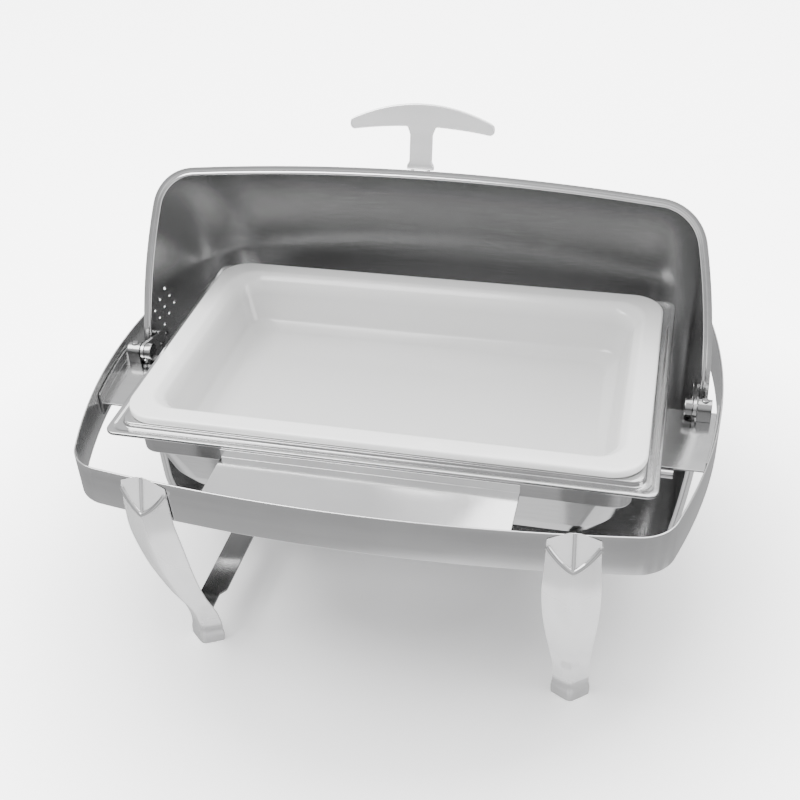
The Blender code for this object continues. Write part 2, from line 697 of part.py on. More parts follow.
def make_food_pan():
    """The white porcelain food pan: a flat round-edged rim, sloping walls and a flat floor."""
    x, y = FOOD_RIM
    top, wall = FOOD_TOP, 0.0045
    under = WATER_TOP + WATER_RAISE + GAP - top
    profile = [
        (0.2190, 0.1165, 0.024, -0.066), (0.2265, 0.1240, 0.030, -0.059),
        (0.2400, 0.1375, 0.032, under - 0.0030), (0.2440, 0.1415, 0.032, under),
        (x - 0.0020, y - 0.0020, 0.034, under), (x, y, 0.035, under + 0.0025),
        (x, y, 0.035, -0.0025), (x - 0.0022, y - 0.0022, 0.033, 0.0),
        (x - 0.0200, y - 0.0200, 0.030, 0.0), (x - 0.0238, y - 0.0238, 0.028, -0.0030),
        (0.2400 - wall, 0.1375 - wall, 0.028, -0.0100),
        (0.2275 - wall, 0.1250 - wall, 0.026, -0.0500),
        (0.2200 - wall, 0.1175 - wall, 0.024, -0.0590), (0.2080, 0.1055, 0.018, -0.0612),
    ]
    rings = [pan_ring(half_x, half_y, radius, top + z, 6) for half_x, half_y, radius, z in profile]
    add_object("food_pan", loft(rings), porcelain())


def main():
    clear_scene()
    make_ring()
    make_legs()
    make_clamps()
    make_stretchers()
    make_front_bracket()
    make_side_brackets()
    make_hinges()
    lid_frame = bpy.data.objects.new("lid_axis", None)
    bpy.context.collection.objects.link(lid_frame)
    lid_frame.location = (0, HINGE_Y, HINGE_Z)
    lid_frame.rotation_euler = (-(math.pi / 2 + LID_TILT), 0, 0)
    make_lid(lid_frame)
    make_water_pan()
    make_food_pan()


main()
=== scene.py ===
"""A full-size roll top chafer, lid rolled open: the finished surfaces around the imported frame."""

import json
import logging
import math
from dataclasses import dataclass, field
from enum import Enum
from typing import Iterable, Sequence

import bmesh
import bpy
from mathutils import Matrix, Vector


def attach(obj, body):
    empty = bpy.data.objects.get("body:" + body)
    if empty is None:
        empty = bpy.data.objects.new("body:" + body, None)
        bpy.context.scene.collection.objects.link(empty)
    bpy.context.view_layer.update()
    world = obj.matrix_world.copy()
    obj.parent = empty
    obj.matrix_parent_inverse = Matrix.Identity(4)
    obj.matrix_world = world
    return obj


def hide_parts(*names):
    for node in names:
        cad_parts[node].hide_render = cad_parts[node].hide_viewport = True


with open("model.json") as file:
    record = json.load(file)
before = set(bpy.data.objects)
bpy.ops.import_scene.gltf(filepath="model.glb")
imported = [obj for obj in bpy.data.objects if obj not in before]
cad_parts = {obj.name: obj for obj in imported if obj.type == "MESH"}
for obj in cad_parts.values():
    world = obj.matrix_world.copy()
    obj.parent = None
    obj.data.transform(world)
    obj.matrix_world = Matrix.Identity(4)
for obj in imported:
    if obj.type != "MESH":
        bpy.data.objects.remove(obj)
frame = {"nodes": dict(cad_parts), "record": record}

Point = tuple[float, ...]
Loop = list[Point]

LOG = logging.getLogger("chafer")
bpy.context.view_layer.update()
UPWARDS = Vector((0.0, 0.0, 1.0))
CREASE = math.radians(42.0)
SIDES = (("left", -1), ("right", 1))
LEG_NAMES = tuple(f"leg_{end}_{side}" for end in ("front", "back") for side, _ in SIDES)
REDRAWN = frozenset(("frame_band", "lid_shell", "lid_rim_hem", "handle", "water_pan", "food_pan",
                     "hinge_pin_left", "hinge_pin_right", *LEG_NAMES))


class Slot(Enum):
    """The record's material slots."""

    POLISHED = "polished_steel"
    BRUSHED = "brushed_steel"
    SATIN = "satin_steel"
    GLAZE = "porcelain"


# ------------------------------------------------------------------ shader expressions


class Wire:
    """A shader value that can be used in a Python expression."""

    def __init__(self, board: "Board", socket: bpy.types.NodeSocket) -> None:
        """Wraps a socket of a node on a board."""
        self.board = board
        self.socket = socket

    def _maths(self, operation: str, first: object, second: object) -> "Wire":
        """Adds a Math node for two values or wires."""
        return self.board.add("ShaderNodeMath", {"operation": operation}, {0: first, 1: second})

    def __add__(self, other: object) -> "Wire":
        """self + other"""
        return self._maths("ADD", self, other)

    __radd__ = __add__

    def __mul__(self, other: object) -> "Wire":
        """self * other"""
        return self._maths("MULTIPLY", self, other)

    __rmul__ = __mul__

    def __sub__(self, other: object) -> "Wire":
        """self - other"""
        return self._maths("SUBTRACT", self, other)

    def __rsub__(self, other: object) -> "Wire":
        """other - self"""
        return self._maths("SUBTRACT", other, self)


class Board:
    """The node tree of one material, or of the world."""

    def __init__(self, name: str, world: bool = False) -> None:
        """Makes the material with its Principled shader, or the world with its Background shader."""
        self.owner = bpy.data.worlds.new(name) if world else bpy.data.materials.new(name)
        self.owner.use_nodes = True
        self.tree = self.owner.node_tree
        self.shader = self.tree.nodes["Background" if world else "Principled BSDF"]

    def add(self, kind: str, settings: dict | None = None, inputs: dict | None = None,
            output: str | int = 0) -> Wire:
        """Adds a node.

        Args:
            kind: the node's Blender type.
            settings: attributes set first; a list under "stops" fills a colour ramp.
            inputs: values or wires, by the socket's name or index.
            output: the socket handed back.

        Returns:
            The output as a wire.
        """
        node = self.tree.nodes.new(kind)
        for key, value in (settings or {}).items():
            if key == "stops":
                self._fill_ramp(node, value)
            else:
                setattr(node, key, value)
        for key, value in (inputs or {}).items():
            self._feed(node.inputs[key], value)
        return Wire(self, node.outputs[output])

    def finish(self, **inputs: object) -> bpy.types.Material | bpy.types.World:
        """Feeds the shader, words joined by underscores, and hands back the material or the world."""
        for key, value in inputs.items():
            self._feed(self.shader.inputs[key.replace("_", " ")], value)
        return self.owner

    def colours(self, factor: Wire, low: Sequence[float], high: Sequence[float]) -> Wire:
        """A colour between low and high by a factor from 0 to 1."""
        stops = [(0.0, (*low, 1.0)), (1.0, (*high, 1.0))]
        return self.add("ShaderNodeValToRGB", {"stops": stops}, {0: factor})

    def noise(self, scale: float, detail: float = 3.0,
              stretch: Sequence[float] = (1.0, 1.0, 1.0)) -> Wire:
        """Noise in object space, stretched by a factor for each axis."""
        place = self.add("ShaderNodeTexCoord", output="Object")
        mapped = self.add("ShaderNodeMapping", inputs={"Vector": place, "Scale": stretch})
        sockets = {"Vector": mapped, "Scale": scale, "Detail": detail}
        return self.add("ShaderNodeTexNoise", inputs=sockets)

    def bump(self, height: Wire, strength: float, distance: float) -> Wire:
        """A bumped normal from a height."""
        sockets = {"Strength": strength, "Distance": distance, "Height": height}
        return self.add("ShaderNodeBump", inputs=sockets, output="Normal")

    def _feed(self, socket: bpy.types.NodeSocket, value: object) -> None:
        """Links a wire to a socket, or sets the socket's value."""
        if isinstance(value, Wire):
            self.tree.links.new(value.socket, socket)
        else:
            socket.default_value = value

    @staticmethod
    def _fill_ramp(node: bpy.types.Node, stops: list) -> None:
        """Sets a colour ramp's stops, which rise in position."""
        elements = node.color_ramp.elements
        for i, (position, colour) in enumerate(stops):
            element = elements[i] if i < len(elements) else elements.new(position)
            element.position = position
            element.color = colour


# ------------------------------------------------------------------ finishes


@dataclass(frozen=True)
class MirrorSteel:
    """Buffed stainless steel: near mirror, with buffing streaks, wipe marks and hairline scratches."""

    name: str = "mirror_steel"
    tone: float = 0.74
    gloss: float = 0.06
    streak: Point = (3.0, 3.0, 70.0)
    metal: float = 1.0
    hair: Point = (260.0, 30.0, 260.0)
    relief: float = 0.12

    def make(self) -> bpy.types.Material:
        """Builds the material."""
        board = Board(self.name)
        smears = board.noise(16.0, 6.0)
        wipes = board.noise(1.0, 4.0, self.streak)
        hairs = board.noise(1.0, 2.0, self.hair)
        mix = smears * 0.5 + wipes * 0.5
        tint = board.colours(mix, [self.tone * 0.80] * 3, [self.tone * 1.14] * 3)
        rough = self.gloss + smears * 0.07 + hairs * 0.04
        waves = board.noise(10.0, 2.0)
        relief = board.bump(waves + wipes * 0.1 + hairs * 0.02, self.relief, 0.002)
        return board.finish(Base_Color=tint, Metallic=self.metal, Roughness=rough, Normal=relief)


@dataclass(frozen=True)
class BrushedSteel:
    """Brushed stainless steel with a straight grain."""

    name: str = "brushed_steel_finish"
    tone: float = 0.60
    gloss: float = 0.17
    grain: Point = (6.0, 900.0, 900.0)

    def make(self) -> bpy.types.Material:
        """Builds the material."""
        board = Board(self.name)
        lines = board.noise(1.0, 3.0, self.grain)
        clouds = board.noise(5.0, 3.0)
        mix = lines * 0.7 + clouds * 0.3
        tint = board.colours(mix, [self.tone * 0.84] * 3, [self.tone * 1.12] * 3)
        rough = self.gloss + lines * 0.10 + clouds * 0.05
        return board.finish(Base_Color=tint, Metallic=1.0, Roughness=rough,
                            Normal=board.bump(lines, 0.12, 0.0004))


@dataclass(frozen=True)
class SatinSteel:
    """Pressed stainless steel, softly polished, with drawing marks."""

    name: str = "satin_steel_finish"
    tone: float = 0.53
    gloss: float = 0.08
    draw: Point = (40.0, 240.0, 240.0)

    def make(self) -> bpy.types.Material:
        """Builds the material."""
        board = Board(self.name)
        marks = board.noise(1.0, 3.0, self.draw)
        clouds = board.noise(11.0, 4.0)
        mix = clouds * 0.6 + marks * 0.4
        tint = board.colours(mix, [self.tone * 0.82] * 3, [self.tone * 1.12] * 3)
        rough = self.gloss + clouds * 0.10 + marks * 0.06
        return board.finish(Base_Color=tint, Metallic=1.0, Roughness=rough,
                            Normal=board.bump(marks * 0.4 + clouds, 0.06, 0.001))


@dataclass(frozen=True)
class Glaze:
    """White glazed porcelain, whitest at the rim and a little greyer down in the well; the greying with
    depth is painted shade.
    """

    name: str = "white_glaze"
    floor: float = 0.285
    rim: float = 0.3065
    painted_well_grey: Point = (0.66, 0.66, 0.655)
    white: Point = (1.0, 1.0, 0.99)

    def make(self) -> bpy.types.Material:
        """Builds the material."""
        board = Board(self.name)
        pools = board.noise(7.0, 3.0)
        specks = board.noise(420.0, 2.0)
        # painted shade: the colour greys with depth, from white at the rim to the painted grey of the
        # well
        place = board.add("ShaderNodeTexCoord", output="Object")
        height = board.add("ShaderNodeSeparateXYZ", inputs={0: place}, output="Z")
        reach = {"From Min": self.floor, "From Max": self.rim}
        rise = board.add("ShaderNodeMapRange", inputs={0: height, **reach})
        shade = rise * 0.8 + pools * 0.15 + specks * 0.05
        tint = board.colours(shade, self.painted_well_grey, self.white)
        relief = board.bump(pools + specks * 0.02, 0.06, 0.003)
        return board.finish(Base_Color=tint, Roughness=0.14 + pools * 0.08, Coat_Weight=0.5,
                            Coat_Roughness=0.06, Normal=relief)


@dataclass(frozen=True)
class Floor:
    """A pale, matt studio floor, glowing by emission away from the object: painted light that leaves a
    painted shadow pool beneath it.
    """

    name: str = "studio_floor"
    tone: float = 0.93
    power: float = 4.5
    painted_glow: tuple[Point, ...] = ((0.06, 0.0), (0.16, 0.12), (0.26, 0.62), (0.36, 1.0))

    def make(self) -> bpy.types.Material:
        """Builds the material."""
        board = Board(self.name)
        cloud = board.noise(2.0, 2.0)
        tint = board.colours(cloud, [self.tone] * 3, [self.tone * 1.01] * 3)
        # painted light: the floor's emission rises with distance from the object, leaving a painted
        # shadow pool beneath it
        place = board.add("ShaderNodeTexCoord", output="Object")
        reach = board.add("ShaderNodeVectorMath", {"operation": "LENGTH"}, {0: place}, "Value")
        stops = [(at, (painted_glow, painted_glow, painted_glow, 1.0)) for at, painted_glow in self.painted_glow]
        painted_glow = board.add("ShaderNodeValToRGB", {"stops": stops}, {0: reach * 0.5})
        return board.finish(Base_Color=tint, Roughness=0.7 + cloud * 0.1, Emission_Color=painted_glow,
                            Emission_Strength=self.power)


class Finishes:
    """Every material of the object, each made once."""

    def __init__(self) -> None:
        """Makes the materials."""
        self.mirror = MirrorSteel().make()
        self.cast = MirrorSteel("leg_steel", 0.74, 0.10, (60.0, 60.0, 5.0), 0.72).make()
        # painted shade: a darker, glossier copy of the mirror steel for the cap borders, drawing dark
        # lines along the V
        self.cap = MirrorSteel("leg_cap_border_shade_steel", 0.62, 0.03, (40.0, 40.0, 40.0)).make()
        # painted highlight: a brighter, part-metal copy of the mirror steel for the handle
        self.bright = MirrorSteel("handle_highlight_steel", 0.88, 0.08, metal=0.7).make()
        # painted shade: a darker copy of the mirror steel for the ring's inner face
        self.ring_inside_shade = MirrorSteel("ring_inside_shaded_steel", 0.50, 0.10, metal=0.9).make()
        # painted shade: a darker copy of the mirror steel for the stretchers under the pans
        self.stretcher_shade = MirrorSteel("stretcher_shaded_steel", 0.40, 0.08).make()
        self.hinge = MirrorSteel("hinge_steel", 0.34, 0.14).make()
        self.inside = BrushedSteel().make()
        self.outside = BrushedSteel("lid_outer_polish", 0.72, 0.10).make()
        self.hem = MirrorSteel("hem_steel", 0.70, 0.10).make()
        self.satin = SatinSteel().make()
        self.glaze = Glaze().make()
        self.by_slot = {Slot.POLISHED: self.mirror, Slot.BRUSHED: self.inside,
                        Slot.SATIN: self.satin, Slot.GLAZE: self.glaze}


# ------------------------------------------------------------------ mesh helpers


def eased(points: Loop, reach: float, closed: bool = True, steps: int = 4,
          share: float = 0.45) -> Loop:
    """Rounds the corners of a line of points in any number of dimensions.

    Args:
        points: the corners.
        reach: how far along each side a rounding starts.
        closed: whether the last point joins the first.
        steps: pieces in each rounding.
        share: the most of a side that one rounding may take.

    Returns:
        The rounded line.
    """
    made: Loop = []
    count = len(points)
    for i, corner in enumerate(points):
        if not closed and i in (0, count - 1):
            made.append(corner)
            continue
        here = Vector(corner)
        ends = []
        for other in (points[i - 1], points[(i + 1) % count]):
            side = Vector(other) - here
            ends.append(here + side * min(share, reach / max(side.length, 1e-9)))
        for k in range(steps + 1):
            t = k / steps
            made.append(tuple(ends[0] * (1 - t) ** 2 + here * (2 * t * (1 - t)) + ends[1] * t * t))
    return made


def skin(name: str, rings: list[Loop], caps: bool = True, looped: bool = False) -> bpy.types.Object:
    """An object whose surface runs through closed rings of equally many points.

    Args:
        name: the object's name.
        rings: the rings, in order.
        caps: whether the first and last ring are filled.
        looped: whether the last ring joins the first.

    Returns:
        The new object, shaded smooth where it curves.
    """
    count = len(rings[0])
    verts = [point for ring in rings for point in ring]
    faces = []
    pairs = len(rings) if looped else len(rings) - 1
    for row in range(pairs):
        below, above = row * count, ((row + 1) % len(rings)) * count
        for i in range(count):
            j = (i + 1) % count
            faces.append((below + i, below + j, above + j, above + i))
    if caps and not looped:
        faces.append(tuple(range(count))[::-1])
        faces.append(tuple(range(len(verts) - count, len(verts))))
    return solid(name, verts, faces)


def solid(name: str, verts: Iterable[Point], faces: Iterable[Sequence[int]]) -> bpy.types.Object:
    """An object from points and faces, with its normals turned outwards."""
    data = bpy.data.meshes.new(name)
    data.from_pydata(list(verts), [], list(faces))
    work = bmesh.new()
    work.from_mesh(data)
    bmesh.ops.remove_doubles(work, verts=work.verts, dist=1e-6)
    bmesh.ops.recalc_face_normals(work, faces=work.faces)
    work.to_mesh(data)
    work.free()
    data.shade_smooth()
    data.set_sharp_from_angle(angle=CREASE)
    made = bpy.data.objects.new(name, data)
    bpy.context.scene.collection.objects.link(made)
    return made


def settle(piece: bpy.types.Object, surface: bpy.types.Material, body: str,
           place: Matrix | None = None, replaces: Sequence[str] = ()) -> bpy.types.Object:
    """Gives a new piece its place, finish, slot and body.

    Args:
        piece: the piece, which is moved in its mesh.
        surface: its finish, unless it already has one.
        body: the body that it rides on.
        place: where it goes; it is already in place without one.
        replaces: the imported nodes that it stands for.

    Returns:
        The piece.
    """
    if place is not None:
        piece.data.transform(place)
        if place.determinant() < 0:
            piece.data.flip_normals()
    if not piece.data.materials:
        piece.data.materials.append(surface)
    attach(piece, body)
    if replaces:
        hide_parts(*replaces)
    LOG.info("%s: %d faces on %s", piece.name, len(piece.data.polygons), body)
    return piece


def rounded_edges(piece: bpy.types.Object, width: float, angle: float = 40.0,
                  segments: int = 3) -> None:
    """Adds a bevel to edges sharper than an angle in degrees."""
    bevel = piece.modifiers.new("rounded_edges", "BEVEL")
    bevel.width = width
    bevel.segments = segments
    bevel.limit_method = "ANGLE"
    bevel.angle_limit = math.radians(angle)
    bevel.harden_normals = True


def turned(name: str, profile: Loop, count: int = 48) -> bpy.types.Object:
    """A turned piece about the X axis from (x, radius) points."""
    rings = []
    for x, radius in profile:
        turns = (2 * math.pi * i / count for i in range(count))
        rings.append([(x, radius * math.cos(t), radius * math.sin(t)) for t in turns])
    return skin(name, rings)


def tube(name: str, line: list[Vector], radius: float, count: int = 14) -> bpy.types.Object:
    """A round bar along a line of points, with chamfered ends."""
    end_size, end_reach = radius * 0.5, radius * 0.6
    path = [line[0], *line, line[-1]]
    rings = []
    for i, point in enumerate(path):
        before, after = path[max(i - 1, 0)], path[min(i + 1, len(path) - 1)]
        ahead = (after - before).normalized()
        across = ahead.cross(Vector((0, 1, 0))).normalized()
        above = across.cross(ahead)
        size = end_size if i in (0, len(path) - 1) else radius
        shift = ahead * end_reach * ((i == len(path) - 1) - (i == 0))
        turns = (2 * math.pi * k / count for k in range(count))
        rings.append([tuple(point + shift + size * (math.cos(t) * across + math.sin(t) * above))
                      for t in turns])
    return skin(name, rings)


def rounded_rectangle(half_x: float, half_y: float, radius: float, per_corner: int = 18) -> Loop:
    """Points of a rectangle with round corners, anticlockwise about the origin."""
    points = []
    for corner, (sign_x, sign_y) in enumerate(((1, 1), (-1, 1), (-1, -1), (1, -1))):
        for i in range(per_corner + 1):
            turn = (corner + i / per_corner) * math.pi / 2
            points.append((sign_x * (half_x - radius) + radius * math.cos(turn),
                           sign_y * (half_y - radius) + radius * math.sin(turn)))
    return points


@dataclass(frozen=True)
class Bowed:
    """A bowed rectangle with round corners.

    Its sides are x = half_x - bow_x * y**2, and its ends are y = half_y - bow_y * x**2.
    """

    half_x: float
    bow_x: float
    half_y: float
    bow_y: float
    fillet: float

    def side(self, y: float) -> tuple[Vector, Vector]:
        """Point and outward normal of the side at y."""
        normal = Vector((1, 2 * self.bow_x * y)).normalized()
        return Vector((self.half_x - self.bow_x * y * y, y)), normal

    def end(self, x: float) -> tuple[Vector, Vector]:
        """Point and outward normal of the end at x."""
        normal = Vector((2 * self.bow_y * x, 1)).normalized()
        return Vector((x, self.half_y - self.bow_y * x * x)), normal

    def quarter(self, inset: float, fine: int) -> list[Vector]:
        """The quarter from the side's middle to the end's middle, moved inwards by inset."""
        x, y = self.half_x - self.fillet, self.half_y - self.fillet
        for _ in range(60):
            on_end, normal_end = self.end(x)
            on_side, normal_side = self.side(y)
            a, b = on_end - self.fillet * normal_end, on_side - self.fillet * normal_side
            x += b.x - a.x
            y += a.y - b.y
        centre = on_end - self.fillet * normal_end
        start = math.atan2(normal_side.y, normal_side.x)
        stop = math.atan2(normal_end.y, normal_end.x)
        made = []
        for i in range(fine + 1):
            point, normal = self.side(y * i / fine)
            made.append(point - inset * normal)
        for i in range(1, fine):
            turn = start + (stop - start) * i / fine
            made.append(centre + (self.fillet - inset) * Vector((math.cos(turn), math.sin(turn))))
        for i in range(fine + 1):
            point, normal = self.end(x * (1 - i / fine))
            made.append(point - inset * normal)
        return made

    def loop(self, inset: float, fine: int = 20) -> Loop:
        """The whole outline, anticlockwise."""
        quarter = self.quarter(inset, fine)
        points = [(p.x, p.y) for p in quarter]
        points += [(-p.x, p.y) for p in quarter[-2::-1]]
        points += [(-p.x, -p.y) for p in quarter[1:]]
        points += [(p.x, -p.y) for p in quarter[-2:0:-1]]
        return points

    def sweep(self, name: str, section: Loop, fine: int = 20) -> bpy.types.Object:
        """A closed section of (inset, height) points carried round the outline."""
        rings = [[(x, y, height) for x, y in self.loop(inset, fine)] for inset, height in section]
        return skin(name, rings, caps=False, looped=True)


def smooth_value(stations: Sequence[Point], at: float) -> float:
    """A value at a height, by smooth steps through (height, value) stations in rising order."""
    if at <= stations[0][0]:
        return stations[0][1]
    for i in range(len(stations) - 1):
        low, high = stations[i], stations[i + 1]
        if at > high[0]:
            continue
        before, after = stations[max(i - 1, 0)], stations[min(i + 2, len(stations) - 1)]
        span = high[0] - low[0]
        slope_low = (high[1] - before[1]) / (high[0] - before[0])
        slope_high = (after[1] - low[1]) / (after[0] - low[0])
        t = (at - low[0]) / span
        return ((2 * t**3 - 3 * t**2 + 1) * low[1] + (t**3 - 2 * t**2 + t) * span * slope_low
                + (3 * t**2 - 2 * t**3) * high[1] + (t**3 - t**2) * span * slope_high)
    return stations[-1][1]


# ------------------------------------------------------------------ the object


@dataclass
class FrameRing:
    """The bowed ring of polished sheet that carries everything."""

    outline: Bowed = Bowed(0.3337, 0.80, 0.2587, 0.274, 0.042)
    top: float = 0.2905
    height: float = 0.0464
    sheet: float = 0.0018
    facing_in: float = -0.02

    def build(self, finishes: Finishes) -> None:
        """Makes the ring, its edges rounded over, with a darker copy of the mirror steel on the inner
        face as painted shade.
        """
        low = self.top - self.height
        corners = [(0.0, low), (0.0, self.top), (self.sheet, self.top), (self.sheet, low)]
        ring = self.outline.sweep("frame_ring", eased(corners, 0.0008))
        ring.data.materials.append(finishes.mirror)
        ring.data.materials.append(finishes.ring_inside_shade)
        # painted shade: faces turned inwards take the darker inside copy of the mirror steel
        for face in ring.data.polygons:
            inwards = face.center.x * face.normal.x + face.center.y * face.normal.y
            face.material_index = 1 if inwards < self.facing_in else 0
        settle(ring, finishes.mirror, "frame", replaces=["frame_band"])


@dataclass
class Legs:
    """Four pressed legs with a ridge down the front and a pointed, faceted cap with a rolled border."""

    x: float = 0.2085
    turn: float = math.radians(6.5)
    edge: float = 0.0015
    peak: float = 0.2935
    shoulder: float = 0.2775
    tip: float = 0.2555
    bead: float = 0.0029
    sag: float = 0.0032
    reach: float = 0.97
    spine: float = 0.66
    steps: int = 120
    border_steps: int = 12
    half_width: tuple[Point, ...] = ((0.0, 0.0204), (0.010, 0.0208), (0.016, 0.0195), (0.055, 0.0193),
                                     (0.11, 0.0222), (0.165, 0.0262), (0.2135, 0.0277), (0.245, 0.0262),
                                     (0.2935, 0.0240))
    out: tuple[Point, ...] = ((0.0, -0.0670), (0.014, -0.0690), (0.028, -0.0685), (0.052, -0.0610),
                              (0.095, -0.0400), (0.150, -0.0190), (0.200, -0.0050), (0.238, 0.0020),
                              (0.2935, 0.0020))
    ridge: tuple[Point, ...] = ((0.0, 0.60), (0.05, 0.50), (0.15, 0.40), (0.25, 0.35), (0.2935, 0.35))
    hollow: tuple[Point, ...] = ((0.0, 0.0), (0.02, 0.0), (0.06, 0.8), (0.20, 0.8), (0.238, 0.0),
                                 (0.2935, 0.0))

    def section(self, z: float, lean: float) -> Loop:
        """The leg's cross-section at a height, moved sideways by lean as it tucks in."""
        half = smooth_value(self.half_width, z)
        edge = -smooth_value(self.out, z)
        ridge = smooth_value(self.ridge, z) * half
        back = edge + self.edge
        sunk = back - smooth_value(self.hollow, z) * ridge
        middle = lean * edge
        return [(middle - half, edge, z), (middle - half * 0.55, edge - ridge * 0.52, z),
                (middle - half * 0.16, edge - ridge * 0.93, z), (middle, edge - ridge, z),
                (middle + half * 0.16, edge - ridge * 0.93, z),
                (middle + half * 0.55, edge - ridge * 0.52, z),
                (middle + half, edge, z), (middle + half, back, z), (middle, sunk, z),
                (middle - half, back, z)]

    def build(self, ring: FrameRing, finishes: Finishes) -> None:
        """Makes the four legs, each with its cap's border."""
        face = ring.outline.end(self.x)[0].y
        for end in ("front", "back"):
            front = end == "front"
            for word, side in SIDES:
                spin = self.turn * side if front else math.pi - self.turn * side
                where = Vector((side * self.x, -face if front else face, 0))
                place = Matrix.Translation(where) @ Matrix.Rotation(spin, 4, "Z")
                name = f"{end}_{word}"
                lean = -place[0][1] / place[0][0]
                leg = self.make_leg(f"leg_{name}_pressing", lean)
                settle(leg, finishes.cast, "frame", place, [f"leg_{name}"])
                rounded_edges(leg, 0.0007, 14.0)
                border = self.border(f"leg_{name}_cap_border")
                # painted shade: the border takes the darker cap copy of the mirror steel
                settle(border, finishes.cap, "frame", place)

    def corners(self) -> tuple[Vector, Vector, Vector]:
        """The cap's tip, its peak, and its right shoulder."""
        front = -smooth_value(self.out, self.tip)
        tip = Vector(self.section(self.tip, 0.0)[3])
        top = Vector((0, front + self.edge, self.peak))
        shoulder = Vector((smooth_value(self.half_width, self.shoulder), front, self.shoulder))
        return tip, top, shoulder

    def make_leg(self, name: str, lean: float) -> bpy.types.Object:
        """One leg, its cap cut by two sloping planes."""
        heights = (self.peak * i / self.steps for i in range(self.steps + 1))
        leg = skin(name, [self.section(z, lean) for z in heights])
        tip, top, shoulder = self.corners()
        work = bmesh.new()
        work.from_mesh(leg.data)
        for side in (-1, 1):
            corner = Vector((side * shoulder.x, shoulder.y, shoulder.z))
            slope = (corner - tip).cross(top - tip).normalized()
            slope = slope if slope.y < 0 else -slope
            cut = bmesh.ops.bisect_plane(work, geom=work.verts[:] + work.edges[:] + work.faces[:],
                                         plane_co=tip, plane_no=slope, clear_outer=True)
            rim = [item for item in cut["geom_cut"] if isinstance(item, bmesh.types.BMEdge)]
            bmesh.ops.holes_fill(work, edges=rim)
        work.to_mesh(leg.data)
        work.free()
        return leg

    def on_front(self, x: float, z: float) -> Vector:
        """The point of the leg's front face at a width and a height."""
        half = smooth_value(self.half_width, z)
        ridge = smooth_value(self.ridge, z) * half
        return Vector((x, -smooth_value(self.out, z) - ridge * (1 - min(abs(x) / half, 1.0)), z))

    def border(self, name: str) -> bpy.types.Object:
        """The rolled border that sags along the cap's lower edges, and the ridge up its middle."""
        tip, top, shoulder = self.corners()
        line = []
        for i in range(-self.border_steps, self.border_steps + 1):
            t = abs(i) / self.border_steps
            z = tip.z + (shoulder.z - tip.z) * t - self.sag * 4 * t * (1 - t)
            line.append(self.on_front(shoulder.x * i / self.border_steps * self.reach, z))
        rim = tube(name, line, self.bead)
        upwards = [line[self.border_steps], tip.lerp(top, 0.5), top]
        spine = tube("spine", upwards, self.bead * self.spine)
        work = bmesh.new()
        work.from_mesh(rim.data)
        work.from_mesh(spine.data)
        work.to_mesh(rim.data)
        work.free()
        bpy.data.objects.remove(spine)
        rim.data.shade_smooth()
        return rim


